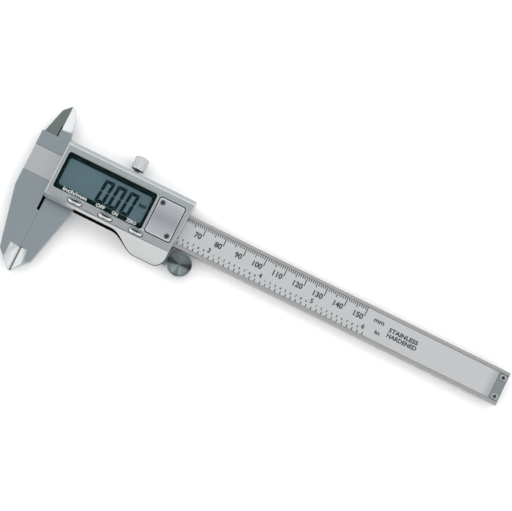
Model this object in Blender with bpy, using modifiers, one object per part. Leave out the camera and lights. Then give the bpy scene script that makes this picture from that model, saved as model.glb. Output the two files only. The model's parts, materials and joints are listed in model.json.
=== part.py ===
"""A 150 mm digital caliper lying on its back, jaws closed, display up.

The beam runs along +X, the outside jaws point to -Y and the display faces +Z. Shapes are laid out from
a datum on the beam's centre line (y = 0) at the closed outside jaws' measuring faces (x = 0), with
z = 0 on the slider's back. The datum is an empty, placed so that the world origin is under the middle
of the whole tool. Sizes are in millimetres, and the helpers turn them into metres.
"""

import math

import bmesh
import bpy
from mathutils import Vector

MM = 0.001

# Overall frame, from the datum
LEFT, RIGHT = -14.7, 220.3
JAW_TIP_Y, INNER_TIP_Y = -49.75, 28.55

# Clearances
GAP = 0.3
THIN_GAP = 0.1
MEASURING_GAP = 0.1

# Height of each layer, low and high
COVER_Z = (0.0, 1.0)
BACK_WALL_Z = (1.3, 2.5)
BEAM_Z = (2.8, 6.4)
FRAME_FRONT_Z = 7.3
BOARD_Z = (7.6, 8.6)
HOUSING_Z = (1.3, 14.8)
HOUSING_WALL = 1.2
FRONT_INNER_Z = HOUSING_Z[1] - HOUSING_WALL

# Beam, with the fixed head and the fixed jaws
BEAM_HALF = 8.0
PANEL_HALF, PANEL_DEPTH = 6.35, 0.9
ROD_HALF, ROD_Z = 1.4, (3.0, 3.95)
GROOVE_HALF, GROOVE_TOP = 1.7, 4.25
HEAD_TOP, HEAD_RIGHT = 13.2, -1.2
INNER_LINE_X = -7.2
HALF_SPLIT_Z = (4.45, 4.75)
RELIEF_X, RELIEF_END_Y = -1.15, -20.05
KNIFE_Y, KNIFE_EDGE = (JAW_TIP_Y - 1, -38.25), 1.2
END_BAND_X = 215.9
STOP_X = 213.9
END_SCREW_X, END_SCREW_Y = 218.0, 4.6

# Slider frame
FRAME_LEFT, FRAME_RIGHT, FRAME_HALF = 0.2, 58.4, 12.1
CHANNEL_Y = (-8.3, 9.3)
LIP_EDGE, LIP_Z = 6.7, 6.7
GIB_Y = (8.2, 9.0)
ARM_TOP, ARM_BOTTOM = 12.0, 9.0
ROD_SCREW_X = 9.0
COVER_SCREWS = ((4.3, -10.75), (4.3, 10.75), (57.0, -10.75), (57.0, 10.75))
SCREW_HOLE = 0.95
GIB_SCREW_X = (14.0, 48.0)
SIDE_SCREW_Z = 4.6

# Housing
HOUSING_LEFT, HOUSING_HALF = -0.9, 13.6
HOUSING_TOP_RIGHT, HOUSING_LOW_RIGHT = 61.4, 60.0
LOBE_Y, LOBE_START_X, LOBE_FULL_X, LOBE_RADIUS = -19.2, 32.8, 46.4, 5.0
TOP_ROUND = 2.4
CREASE_Y, SLOPE = -12.5, 1.66
WINDOW_X, WINDOW_HALF = (1.2, 44.6), 8.6
BATTERY_DOOR_X, BATTERY_DOOR_HALF = (45.9, 58.7), 8.8
DOOR_SEAT_Z = 13.8

# Display and controls
BUTTON_X, BUTTON_Y, BUTTON_SIZE = (13.2, 28.1, 43.1), -10.9, (7.0, 2.8)
BUTTON_TOP_Z = 15.2
BUTTON_NAMES = ("unit_button", "power_button", "zero_button")
BATTERY_X, BATTERY_RADIUS, BATTERY_Z = 52.3, 5.8, (8.1, 13.5)
DOOR_SCREWS = ((48.1, 6.4), (56.2, -6.4))
LOCK_X, LOCK_HEAD_Y, LOCK_HEAD_RADIUS = 31.05, (15.5, 22.0), 3.35
ROLLER_AT, ROLLER_RADIUS, ROLLER_Z = (66.5, -14.2), 5.9, (2.8, 8.2)
TONGUE_HALF = 2.8


def clear_scene():
    for old in list(bpy.data.objects):
        bpy.data.objects.remove(old, do_unlink=True)


clear_scene()
scene_root = bpy.context.scene.collection
caliper = bpy.data.collections.new("digital_caliper")
cutters = bpy.data.collections.new("cutters")
scene_root.children.link(caliper)
scene_root.children.link(cutters)

datum = bpy.data.objects.new("datum", None)
datum.location = (
    -(LEFT + RIGHT) / 2 * MM,
    -(JAW_TIP_Y + INNER_TIP_Y) / 2 * MM,
    0,
)
caliper.objects.link(datum)


# Materials


def material(name, colour, roughness, metallic):
    made = bpy.data.materials.new(name)
    made.use_nodes = True
    shader = made.node_tree.nodes["Principled BSDF"]
    shader.inputs["Base Color"].default_value = (*colour, 1)
    shader.inputs["Roughness"].default_value = roughness
    shader.inputs["Metallic"].default_value = metallic
    return made


GROUND_STEEL = material("ground_steel", (0.42, 0.45, 0.47), 0.35, 1.0)
SATIN_STEEL = material("satin_steel", (0.62, 0.62, 0.64), 0.32, 1.0)
BRIGHT_STEEL = material("bright_steel", (0.7, 0.7, 0.72), 0.22, 1.0)
SPRING_BRASS = material("spring_brass", (0.68, 0.5, 0.22), 0.35, 1.0)
ETCHED_PANEL = material("etched_panel", (0.58, 0.59, 0.6), 0.45, 0.9)
BOARD_GREEN = material("board_green", (0.03, 0.18, 0.08), 0.5, 0.0)
CHIP_BLACK = material("chip_black", (0.02, 0.02, 0.022), 0.4, 0.0)
ZEBRA_GREY = material("zebra_grey", (0.25, 0.25, 0.27), 0.8, 0.0)
DISPLAY_GLASS = material("display_glass", (0.11, 0.17, 0.19), 0.15, 0.0)
LENS_CLEAR = material("lens_clear", (0.05, 0.1, 0.1), 0.08, 0.0)


# Outlines: lists of (x, y) corners, counter-clockwise


def arc(centre, radius, start, end, steps):
    """Points on an arc, both ends included; angles in degrees."""
    points = []
    for step in range(steps + 1):
        angle = math.radians(start + (end - start) * step / steps)
        points.append((centre[0] + radius * math.cos(angle), centre[1] + radius * math.sin(angle)))
    return points


def rounded_box(low, high, radius, steps=4):
    corners = (
        ((high[0] - radius, high[1] - radius), 0),
        ((low[0] + radius, high[1] - radius), 90),
        ((low[0] + radius, low[1] + radius), 180),
        ((high[0] - radius, low[1] + radius), 270),
    )
    points = []
    for centre, start in corners:
        points += arc(centre, radius, start, start + 90, steps)
    return points


def oval(centre, size, steps=24):
    points = []
    for step in range(steps):
        angle = 2 * math.pi * step / steps
        x = centre[0] + size[0] / 2 * math.cos(angle)
        y = centre[1] + size[1] / 2 * math.sin(angle)
        points.append((x, y))
    return points


def inset(points, distance):
    """The counter-clockwise outline moved inwards by the distance, each corner along its mitre."""
    moved = []
    count = len(points)
    for index in range(count):
        here = Vector(points[index])
        before = (here - Vector(points[index - 1])).normalized()
        after = (Vector(points[(index + 1) % count]) - here).normalized()
        normal_before = Vector((-before.y, before.x))
        normal_after = Vector((-after.y, after.x))
        mitre = normal_before + normal_after
        moved.append(tuple(here + mitre * (distance / (1 + normal_before.dot(normal_after)))))
    return moved


def plan_outline():
    """The housing seen from the front, with the thumb rest as an eased lobe at its lower right."""
    drop = HOUSING_HALF + LOBE_Y
    points = [(HOUSING_TOP_RIGHT, HOUSING_HALF), (HOUSING_LEFT, HOUSING_HALF), (HOUSING_LEFT, -HOUSING_HALF)]
    steps = 12
    for step in range(steps + 1):
        share = step / steps
        x = LOBE_START_X + (LOBE_FULL_X - LOBE_START_X) * share
        points.append((x, -HOUSING_HALF + drop * (1 - math.cos(math.pi * share)) / 2))
    corner = (HOUSING_LOW_RIGHT - LOBE_RADIUS, LOBE_Y + LOBE_RADIUS)
    return points + arc(corner, LOBE_RADIUS, -90, 0, 8)


def side_outline():
    """The housing's section, as (y, z): rounded along the top, sloping away below the crease."""
    front = HOUSING_Z[1]
    far_y, deep = -24.0, -10.0
    points = [(CREASE_Y, front), (far_y, front + (far_y - CREASE_Y) * SLOPE), (far_y, deep)]
    points.append((HOUSING_HALF, deep))
    return points + arc((HOUSING_HALF - TOP_ROUND, front - TOP_ROUND), TOP_ROUND, 0, 90, 6)


# Solids


def add(name, mesh, look, at=(0, 0, 0), parent=datum):
    """An object in the caliper, or among the cutters when it has no material."""
    made = bpy.data.objects.new(name, mesh)
    made.location = Vector(at) * MM
    made.parent = parent
    if look is None:
        cutters.objects.link(made)
        made.hide_render = True
        made.display_type = "WIRE"
    else:
        caliper.objects.link(made)
        mesh.materials.append(look)
    return made


def extruded(name, points, z_range, look=None, at=(0, 0, 0), turn=None):
    """A flat outline given a thickness: a filled 2D curve, turned into a closed mesh."""
    curve = bpy.data.curves.new(name, "CURVE")
    curve.dimensions = "2D"
    curve.fill_mode = "BOTH"
    curve.extrude = (z_range[1] - z_range[0]) / 2 * MM
    spline = curve.splines.new("POLY")
    spline.points.add(len(points) - 1)
    spline.use_cyclic_u = True
    for point, (x, y) in zip(spline.points, points):
        point.co = (x * MM, y * MM, 0, 1)
    guide = bpy.data.objects.new(name + "_guide", curve)
    scene_root.objects.link(guide)
    graph = bpy.context.evaluated_depsgraph_get()
    mesh = bpy.data.meshes.new_from_object(guide.evaluated_get(graph))
    mesh.name = name
    bpy.data.objects.remove(guide, do_unlink=True)
    shape = bmesh.new()
    shape.from_mesh(mesh)
    bmesh.ops.remove_doubles(shape, verts=shape.verts, dist=0.000001)
    bmesh.ops.translate(shape, verts=shape.verts, vec=(0, 0, (z_range[0] + z_range[1]) / 2 * MM))
    bmesh.ops.recalc_face_normals(shape, faces=shape.faces)
    shape.to_mesh(mesh)
    shape.free()
    mesh.shade_flat()
    made = add(name, mesh, look, at)
    if turn:
        made.rotation_euler = [math.radians(angle) for angle in turn]
    return made


def box(name, low, high, look=None, parent=datum, at=None):
    """A box between two corners, its origin at its middle unless another is given."""
    middle = at or [(a + b) / 2 for a, b in zip(low, high)]
    shape = bmesh.new()
    bmesh.ops.create_cube(shape, size=1)
    bmesh.ops.scale(shape, verts=shape.verts, vec=[(b - a) * MM for a, b in zip(low, high)])
    shift = [((a + b) / 2 - c) * MM for a, b, c in zip(low, high, middle)]
    bmesh.ops.translate(shape, verts=shape.verts, vec=shift)
    mesh = bpy.data.meshes.new(name)
    shape.to_mesh(mesh)
    shape.free()
    return add(name, mesh, look, middle, parent)


def cylinder(name, at, radius, span, look=None, along="Z", steps=20):
    """A round bar through a point, from span[0] to span[1] along the axis, from that point."""
    shape = bmesh.new()
    bmesh.ops.create_cone(
        shape,
        cap_ends=True,
        segments=steps,
        radius1=radius * MM,
        radius2=radius * MM,
        depth=(span[1] - span[0]) * MM,
    )
    bmesh.ops.translate(shape, verts=shape.verts, vec=(0, 0, (span[0] + span[1]) / 2 * MM))
    mesh = bpy.data.meshes.new(name)
    shape.to_mesh(mesh)
    shape.free()
    mesh.shade_smooth()
    mesh.set_sharp_from_angle(angle=math.radians(40))
    made = add(name, mesh, look, at)
    if along == "Y":
        made.rotation_euler = (math.radians(-90), 0, 0)
    return made


def turned(name, profile, at, look=None, along="Z", steps=24):
    """A profile of (radius, height), from the top of the axis down to its foot, turned about Z."""
    shape = bmesh.new()
    corners = [shape.verts.new((radius * MM, 0, height * MM)) for radius, height in profile]
    for first, second in zip(corners, corners[1:]):
        shape.edges.new((first, second))
    mesh = bpy.data.meshes.new(name)
    shape.to_mesh(mesh)
    shape.free()
    made = add(name, mesh, look, at)
    screw = made.modifiers.new("turn", "SCREW")
    screw.steps = steps
    screw.render_steps = steps
    screw.use_merge_vertices = True
    screw.merge_threshold = 0.000005
    screw.use_smooth_shade = False
    if along == "Y":
        made.rotation_euler = (math.radians(-90), 0, 0)
    return made


def combine(target, other, operation):
    change = target.modifiers.new(f"{operation.lower()}_{other.name}", "BOOLEAN")
    change.operation = operation
    change.object = other


def cut(target, *tools):
    for tool in tools:
        combine(target, tool, "DIFFERENCE")


def join(target, *tools):
    for tool in tools:
        combine(target, tool, "UNION")


def screw_profile(head_radius, head_height, shank_radius, length):
    """A pan screw with its head's top at height 0 and its shank below."""
    return (
        (0, 0),
        (head_radius * 0.85, 0),
        (head_radius, -head_height * 0.35),
        (head_radius, -head_height),
        (shank_radius, -head_height),
        (shank_radius, -length + shank_radius * 0.5),
        (shank_radius * 0.5, -length),
        (0, -length),
    )


def pan_screw(name, at, sizes, look, down=True, parent=datum):
    """A screw whose head's top is at a point; its shank runs to -Z, or to +Z when down is False."""
    made = turned(name, screw_profile(*sizes), at, look, steps=16)
    made.parent = parent
    if not down:
        made.rotation_euler = (math.radians(180), 0, 0)
    head_radius, head_height = sizes[0], sizes[1]
    slot = box(
        name + "_slot",
        (-head_radius * 0.62, -0.2, -head_height * 0.45),
        (head_radius * 0.62, 0.2, head_height),
        parent=made,
        at=(0, 0, 0),
    )
    cut(made, slot)
    return made


# Beam body


def knife_cutter(name, x_range, y_range, side):
    """A wedge that thins a jaw from its face at one x to its edge at the other; side 1 is the front."""
    thick_x, edge_x = x_range
    face_z = BEAM_Z[1] if side > 0 else BEAM_Z[0]
    edge_z = face_z - side * KNIFE_EDGE
    beyond = edge_x + 0.2 * math.copysign(1, edge_x - thick_x)
    outside = face_z + side
    points = [(thick_x, face_z), (beyond, edge_z), (beyond, outside), (thick_x, outside)]
    length = y_range[1] - y_range[0]
    return extruded(name, points, (0, length), at=(0, y_range[1], 0), turn=(90, 0, 0))


def make_beam():
    half_gap = MEASURING_GAP / 2
    outline = [
        (RIGHT, -BEAM_HALF),
        (RIGHT, BEAM_HALF),
        (HEAD_RIGHT, BEAM_HALF),
        (HEAD_RIGHT, 14.75),
        (-2.75, 20.05),
        (-3.3, 22.75),
        (-4.9, 26.85),
        (-6.5, 28.3),
        (INNER_LINE_X, INNER_TIP_Y),
        (INNER_LINE_X, HEAD_TOP),
        (LEFT, HEAD_TOP),
        (LEFT, -14.1),
        (-8.0, -42.75),
        (-4.9, -45.75),
        (-0.6, JAW_TIP_Y),
        (-half_gap, JAW_TIP_Y),
        (-half_gap, RELIEF_END_Y),
        (RELIEF_X, RELIEF_END_Y),
        (RELIEF_X, -BEAM_HALF),
    ]
    beam = extruded("beam", outline, BEAM_Z, GROUND_STEEL)
    cut(
        beam,
        box("arm_clearance", (LEFT - 1, ARM_BOTTOM - GAP, 0), (0, 40, HALF_SPLIT_Z[1])),
        box(
            "panel_recess",
            (LEFT - 1, -PANEL_HALF, BEAM_Z[1] - PANEL_DEPTH),
            (RIGHT + 1, PANEL_HALF, BEAM_Z[1] + 1),
        ),
        box("rod_groove", (3, -GROOVE_HALF, 0), (RIGHT + 1, GROOVE_HALF, GROOVE_TOP)),
        knife_cutter("fixed_knife_front", (-4.8, 0), KNIFE_Y, 1),
        knife_cutter("fixed_knife_back", (-4.8, 0), KNIFE_Y, -1),
        knife_cutter("fixed_inner_bevel", (-2.4, INNER_LINE_X), (16.95, 40), 1),
    )
    for side in (-1, 1):
        cut(beam, cylinder(f"beam_hole{side}", (END_SCREW_X, side * END_SCREW_Y, 0), 1.1, (0, 10)))
    return beam


def make_beam_fittings():
    left, strip_right, right = LEFT + 0.1, END_BAND_X - GAP, RIGHT - 0.1
    half = PANEL_HALF - THIN_GAP
    strip_low = BEAM_Z[1] - PANEL_DEPTH + THIN_GAP
    strip_top = strip_low + 0.25
    panel_low, panel_top = strip_top + THIN_GAP, BEAM_Z[1] - 0.1
    box("stator_strip", (left, -half, strip_low), (strip_right, half, strip_top), BOARD_GREEN)
    box("scale_plate", (left, -half, panel_low), (strip_right, half, panel_top), ETCHED_PANEL)
    clamp = box("scale_end_clamp", (END_BAND_X, -half, strip_low), (right, half, strip_low + 0.4), GROUND_STEEL)
    stop = box("beam_end_stop", (STOP_X, -7.2, 1.6), (right, 7.2, BEAM_Z[0] - THIN_GAP), GROUND_STEEL)
    for number, side in enumerate((-1, 1), start=1):
        at = (END_SCREW_X, side * END_SCREW_Y, 0)
        cut(clamp, cylinder(f"clamp_hole{number}", at, 1.1, (4, 8)))
        cut(stop, cylinder(f"stop_hole{number}", at, 1.1, (0, 4)))
        pan_screw(f"end_screw_{number}", (at[0], at[1], 6.7), (1.6, 0.6, 0.8, 4.8), BRIGHT_STEEL)


# Slider body


def make_slider_frame():
    """The channel round the beam, with the moving outside jaw, the rear arm and blade, and a tongue."""
    frame = box(
        "slider_frame",
        (FRAME_LEFT, -FRAME_HALF, BACK_WALL_Z[0]),
        (FRAME_RIGHT, FRAME_HALF, FRAME_FRONT_Z),
        GROUND_STEEL,
    )
    jaw = extruded(
        "moving_jaw",
        [
            (FRAME_LEFT, RELIEF_END_Y),
            (MEASURING_GAP / 2, RELIEF_END_Y),
            (MEASURING_GAP / 2, JAW_TIP_Y),
            (0.5, JAW_TIP_Y),
            (3.7, -45.45),
            (7.1, -42.05),
            (13.4, -14.75),
            (13.4, -9.0),
            (FRAME_LEFT, -9.0),
        ],
        BEAM_Z,
    )
    arm = extruded(
        "moving_arm",
        [
            (4.0, ARM_BOTTOM),
            (4.0, ARM_TOP - 0.3),
            (INNER_LINE_X, ARM_TOP - 0.3),
            (INNER_LINE_X, 13.45),
            (INNER_LINE_X - 0.6, 13.45),
            (INNER_LINE_X - 0.6, 18.25),
            (INNER_LINE_X, 18.25),
            (INNER_LINE_X, INNER_TIP_Y),
            (INNER_LINE_X - 0.7, 28.2),
            (-10.7, 25.25),
            (-13.9, HEAD_TOP),
            (-13.9, ARM_BOTTOM),
        ],
        (BEAM_Z[0], HALF_SPLIT_Z[0]),
    )
    back = extruded("frame_back", inset(plan_outline(), HOUSING_WALL + GAP + 0.1), BACK_WALL_Z)
    roller_x, roller_y = ROLLER_AT
    tongue_outline = arc(ROLLER_AT, TONGUE_HALF, -90, 90, 12)
    tongue_outline += [(50, roller_y + TONGUE_HALF), (50, roller_y - TONGUE_HALF)]
    tongue = extruded("roller_tongue", tongue_outline, (BACK_WALL_Z[0] + 0.05, BACK_WALL_Z[1] - 0.05))
    rod_pad = cylinder("rod_pad", (ROD_SCREW_X, 0, 0), 1.3, (2.0, ROD_Z[0] - THIN_GAP), steps=16)
    cut(jaw, knife_cutter("moving_knife_front", (3.7, 0), KNIFE_Y, 1))
    cut(jaw, knife_cutter("moving_knife_back", (3.7, 0), KNIFE_Y, -1))
    cut(arm, knife_cutter("moving_inner_bevel", (-13.0, INNER_LINE_X), (19.5, 40), -1))
    join(frame, back)
    cut(
        frame,
        box("beam_channel", (-5, CHANNEL_Y[0], BACK_WALL_Z[1]), (70, CHANNEL_Y[1], LIP_Z)),
        box("front_opening", (-5, -LIP_EDGE, LIP_Z - 1), (70, LIP_EDGE, 9)),
    )
    join(frame, rod_pad, jaw, arm, tongue)
    for number, (x, y) in enumerate(COVER_SCREWS, start=1):
        cut(frame, cylinder(f"frame_hole_{number}", (x, y, 0), SCREW_HOLE, (0, 9), steps=16))
    for x in GIB_SCREW_X:
        cut(frame, cylinder(f"gib_hole_{x}", (x, 9, SIDE_SCREW_Z), 1.2, (-0.4, 6), along="Y", steps=16))
    cut(
        frame,
        cylinder("lock_hole", (LOCK_X, 9, SIDE_SCREW_Z), 1.4, (-0.4, 6), along="Y"),
        cylinder("rod_screw_hole", (ROD_SCREW_X, 0, 0), 0.9, (0, 4), steps=16),
        cylinder("rod_screw_seat", (ROD_SCREW_X, 0, 0), 1.7, (0, 2.0), steps=16),
        cylinder("axle_hole", (roller_x, roller_y, 0), 1.5, (0, 4)),
    )
    return frame


def make_slider_fittings():
    box("gib_strip", (1.5, GIB_Y[0], 3.0), (57.5, GIB_Y[1], 6.2), SPRING_BRASS)
    for number, x in enumerate(GIB_SCREW_X, start=1):
        cylinder(f"gib_screw_{number}", (x, 0, SIDE_SCREW_Z), 0.9, (9.3, 11.8), BRIGHT_STEEL, "Y", 16)
    rod = box("depth_rod", (5, -ROD_HALF, ROD_Z[0]), (RIGHT - 0.2, ROD_HALF, ROD_Z[1]), BRIGHT_STEEL)
    cut(rod, cylinder("rod_hole", (ROD_SCREW_X, 0, 0), 0.9, (0, 6), steps=16))
    pan_screw("depth_rod_screw", (ROD_SCREW_X, 0, 1.35), (1.4, 0.4, 0.6, 2.4), BRIGHT_STEEL, down=False)
    turned(
        "roller_axle",
        ((0, 6.8), (1.0, 6.8), (1.2, 6.5), (1.2, 1.1), (2.3, 1.1), (2.3, 0.7), (0, 0.7)),
        (*ROLLER_AT, 0),
        BRIGHT_STEEL,
    )
    cover = extruded("rear_cover", inset(plan_outline(), 0.15), COVER_Z, SATIN_STEEL)
    for number, (x, y) in enumerate(COVER_SCREWS, start=1):
        cut(cover, cylinder(f"cover_hole_{number}", (x, y, 0), SCREW_HOLE, (-1, 2), steps=16))
        cut(cover, cylinder(f"cover_seat_{number}", (x, y, 0), 1.9, (-1, 0.7), steps=16))
        sizes = (1.6, 0.45, 0.7, 11.0)
        pan_screw(f"rear_cover_screw_{number}", (x, y, 0.1), sizes, BRIGHT_STEEL, down=False)


def housing_solid(name, distance, bottom, look=None):
    """The housing's outer shape, or that shape moved inwards: its plan where it meets its section."""
    body = extruded(name, inset(plan_outline(), distance), (bottom, 20), look)
    section = extruded(name + "_section", inset(side_outline(), distance), (-5, 70), turn=(90, 0, 90))
    combine(body, section, "INTERSECT")
    return body


def make_housing():
    housing = housing_solid("housing", 0, HOUSING_Z[0], SATIN_STEEL)
    cut(housing, housing_solid("housing_inside", HOUSING_WALL, -5))
    boss_top = FRONT_INNER_Z + 0.4
    for number, (x, y) in enumerate(COVER_SCREWS, start=1):
        join(housing, cylinder(f"boss_{number}", (x, y, 0), 1.8, (BOARD_Z[0], boss_top), steps=16))
    for number, (x, y) in enumerate(COVER_SCREWS, start=1):
        cut(housing, cylinder(f"boss_hole_{number}", (x, y, 0), SCREW_HOLE, (7, 11.5), steps=16))
    window = rounded_box((WINDOW_X[0], -WINDOW_HALF), (WINDOW_X[1], WINDOW_HALF), 1.0)
    door_low = (BATTERY_DOOR_X[0], -BATTERY_DOOR_HALF)
    door_high = (BATTERY_DOOR_X[1], BATTERY_DOOR_HALF)
    join(housing, box("door_seat", (45.2, -9.4, 12.6), (59.1, 9.4, FRONT_INNER_Z + 0.4)))
    cut(
        housing,
        extruded("window_opening", window, (12, 16)),
        extruded("door_recess", rounded_box(door_low, door_high, 1.2), (DOOR_SEAT_Z, 16)),
        cylinder("battery_opening", (BATTERY_X, 0, 0), 6.2, (12, 16), steps=32),
    )
    for x, y in DOOR_SCREWS:
        cut(housing, cylinder(f"door_thread_{x}", (x, y, 0), 0.9, (12, 16), steps=16))
    for x in BUTTON_X:
        size = (BUTTON_SIZE[0] + 0.4, BUTTON_SIZE[1] + 0.4)
        cut(housing, extruded(f"button_hole_{x}", oval((x, BUTTON_Y), size), (12, 16)))
    cut(
        housing,
        box("head_clearance", (-2, -16, 0), (0.5, 16, BOARD_Z[0])),
        box("jaw_clearance", (-1, -16, 0), (13.8, -FRAME_HALF, 7.0)),
        box("beam_clearance", (57, -8.4, 0), (63, 8.4, 7.0)),
        box("tongue_clearance", (52, ROLLER_AT[1] - 3.9, 0), (63, ROLLER_AT[1] + 3.9, 2.8)),
        cylinder("lock_screw_hole", (LOCK_X, 12, SIDE_SCREW_Z), 1.4, (0, 3), along="Y"),
    )
    for x in GIB_SCREW_X:
        cut(housing, cylinder(f"gib_access_{x}", (x, 12, SIDE_SCREW_Z), 1.2, (0, 3), along="Y", steps=16))
    return housing


def make_display():
    board = box("circuit_board", (1.6, -12.0, BOARD_Z[0]), (45.0, 12.0, BOARD_Z[1]), BOARD_GREEN)
    for number, (x, y) in enumerate(COVER_SCREWS[:2], start=1):
        cut(board, cylinder(f"board_hole_{number}", (x, y, 0), 2.1, (7, 9)))
    box("controller_chip", (19, -1, BOARD_Z[1] + THIN_GAP), (25, 5, BOARD_Z[1] + 0.9), CHIP_BLACK)
    for name, y in (("zebra_strip_top", 7.0), ("zebra_strip_bottom", -7.0)):
        box(name, (3.5, y - 0.6, BOARD_Z[1] + THIN_GAP), (42.5, y + 0.6, 11.1), ZEBRA_GREY)
    box("lcd_glass", (2.0, -8.0, 11.2), (43.8, 8.0, 13.2), DISPLAY_GLASS)
    low = (WINDOW_X[0] + 0.2, -WINDOW_HALF + 0.2)
    high = (WINDOW_X[1] - 0.2, WINDOW_HALF - 0.2)
    extruded("window_lens", rounded_box(low, high, 0.8), (13.5, 14.4), LENS_CLEAR)
    box("battery_contact_minus", (48.3, -3, 7.5), (56.3, 3, 7.8), SPRING_BRASS)
    box("battery_contact_plus", (50.3, -6.45, 8.0), (54.3, -6.15, 12.2), SPRING_BRASS)
    cylinder("battery", (BATTERY_X, 0, 0), BATTERY_RADIUS, BATTERY_Z, BRIGHT_STEEL, steps=32)


# Bodies that move on the slider


def make_buttons():
    """Each button: an oval cap, a flange that keeps it in, and a stem over its switch dome."""
    for name, x in zip(BUTTON_NAMES, BUTTON_X):
        button = extruded(name, oval((0, 0), BUTTON_SIZE), (12.5, BUTTON_TOP_Z), BRIGHT_STEEL, (x, BUTTON_Y, 0))
        join(
            button,
            box(name + "_flange", (x - 4.2, BUTTON_Y - 0.9, 12.4), (x + 4.2, BUTTON_Y + 0.9, 13.2)),
            cylinder(name + "_stem", (x, BUTTON_Y, 0), 0.9, (9.7, 12.7), steps=16),
        )
        dome = ((0, 0.4), (0.6, 0.34), (1.0, 0.2), (1.2, 0), (0, 0))
        at = (x, BUTTON_Y, BOARD_Z[1] + THIN_GAP)
        turned(name.replace("button", "switch_dome"), dome, at, SPRING_BRASS, steps=16)


def make_battery_door():
    low = (BATTERY_DOOR_X[0] + 0.25, -BATTERY_DOOR_HALF + 0.25)
    high = (BATTERY_DOOR_X[1] - 0.25, BATTERY_DOOR_HALF - 0.25)
    cover = extruded("battery_cover", rounded_box(low, high, 1.0), (DOOR_SEAT_Z + 0.1, 15.0), SATIN_STEEL)
    for number, (x, y) in enumerate(DOOR_SCREWS, start=1):
        cut(cover, cylinder(f"door_hole_{number}", (x, y, 0), 0.9, (12, 16), steps=16))
        cut(cover, cylinder(f"door_seat_{number}", (x, y, 0), 1.25, (14.45, 16), steps=16))
        pan_screw(f"battery_cover_screw_{number}", (x, y, 14.95), (1.1, 0.4, 0.65, 2.2), BRIGHT_STEEL)


def make_lock():
    """The lock screw and the brass pad that it drives against the gib strip."""
    cylinder("lock_pad", (LOCK_X, 9.3, SIDE_SCREW_Z), 1.1, (0, 1.0), SPRING_BRASS, "Y")
    foot, stem_top, top = 10.6, LOCK_HEAD_Y[0], LOCK_HEAD_Y[1]
    head, stem, round_by = LOCK_HEAD_RADIUS, 1.1, 1.2
    profile = [(0, top)]
    for radius, height in arc((head - round_by, top - round_by), round_by, 90, 0, 4):
        profile.append((radius, height))
    profile += [(head, stem_top + 0.6), (head - 0.7, stem_top), (stem, stem_top)]
    profile += [(stem, foot + 0.3), (stem - 0.3, foot), (0, foot)]
    screw = turned("lock_screw", profile, (LOCK_X, 0, SIDE_SCREW_Z), BRIGHT_STEEL, "Y", steps=32)
    flutes, flute_circle = 16, head + 0.25
    for index in range(flutes):
        angle = 2 * math.pi * index / flutes
        x = LOCK_X + flute_circle * math.cos(angle)
        z = SIDE_SCREW_Z + flute_circle * math.sin(angle)
        cut(screw, cylinder(f"flute_{index}", (x, 0, z), 0.45, (stem_top - 1, top + 1), along="Y", steps=8))


def make_roller():
    """The thumb roller: a dished front face, a chamfered rim and a blind bore from behind."""
    low, high = ROLLER_Z
    face = ROLLER_RADIUS - 0.45
    profile = (
        (0, high - 1.0),
        (face, high),
        (ROLLER_RADIUS, high - 0.5),
        (ROLLER_RADIUS, low + 0.4),
        (ROLLER_RADIUS - 0.4, low),
        (1.5, low),
        (1.5, 7.1 - 0.3),
        (0, 7.1),
    )
    turned("thumb_roller", profile, (*ROLLER_AT, 0), GROUND_STEEL, steps=48)


make_beam()
make_beam_fittings()
make_slider_frame()
make_slider_fittings()
make_housing()
make_display()
make_buttons()
make_battery_door()
make_lock()
make_roller()
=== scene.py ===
"""The looks of the digital caliper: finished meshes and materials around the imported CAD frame.

Shapes are laid out in millimetres from a datum on the beam's centre line (y = 0), at the closed jaws'
measuring faces (x = 0). Every mesh made here holds metres from that datum, and its object sits on it.
"""

import functools
import json
import math

import bmesh
import bpy
from mathutils import Matrix, Vector

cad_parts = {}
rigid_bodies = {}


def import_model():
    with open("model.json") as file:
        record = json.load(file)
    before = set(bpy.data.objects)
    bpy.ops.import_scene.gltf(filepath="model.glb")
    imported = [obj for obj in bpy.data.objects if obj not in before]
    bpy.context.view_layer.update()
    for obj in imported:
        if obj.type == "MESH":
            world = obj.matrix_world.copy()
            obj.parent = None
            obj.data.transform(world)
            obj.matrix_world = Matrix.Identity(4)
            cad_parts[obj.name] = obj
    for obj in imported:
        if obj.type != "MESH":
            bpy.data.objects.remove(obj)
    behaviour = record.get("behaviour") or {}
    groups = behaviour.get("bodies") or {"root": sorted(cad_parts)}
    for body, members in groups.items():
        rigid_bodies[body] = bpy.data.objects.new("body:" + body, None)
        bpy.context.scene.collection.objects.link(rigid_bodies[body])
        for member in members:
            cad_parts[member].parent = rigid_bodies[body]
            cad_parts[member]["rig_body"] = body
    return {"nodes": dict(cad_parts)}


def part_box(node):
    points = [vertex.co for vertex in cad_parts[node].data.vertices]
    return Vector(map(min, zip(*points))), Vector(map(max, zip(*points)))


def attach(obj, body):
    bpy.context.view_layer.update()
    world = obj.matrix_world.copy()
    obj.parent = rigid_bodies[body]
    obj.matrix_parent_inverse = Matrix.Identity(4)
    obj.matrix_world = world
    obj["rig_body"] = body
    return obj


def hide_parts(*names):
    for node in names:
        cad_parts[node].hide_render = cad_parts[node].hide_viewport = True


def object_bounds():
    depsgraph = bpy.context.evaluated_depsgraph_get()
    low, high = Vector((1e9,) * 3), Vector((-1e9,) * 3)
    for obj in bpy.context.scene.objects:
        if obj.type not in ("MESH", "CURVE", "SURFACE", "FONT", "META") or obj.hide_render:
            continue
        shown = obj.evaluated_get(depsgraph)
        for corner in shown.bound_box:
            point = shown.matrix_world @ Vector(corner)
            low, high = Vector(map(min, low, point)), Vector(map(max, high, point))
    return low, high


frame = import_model()
cad_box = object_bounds()

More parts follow.
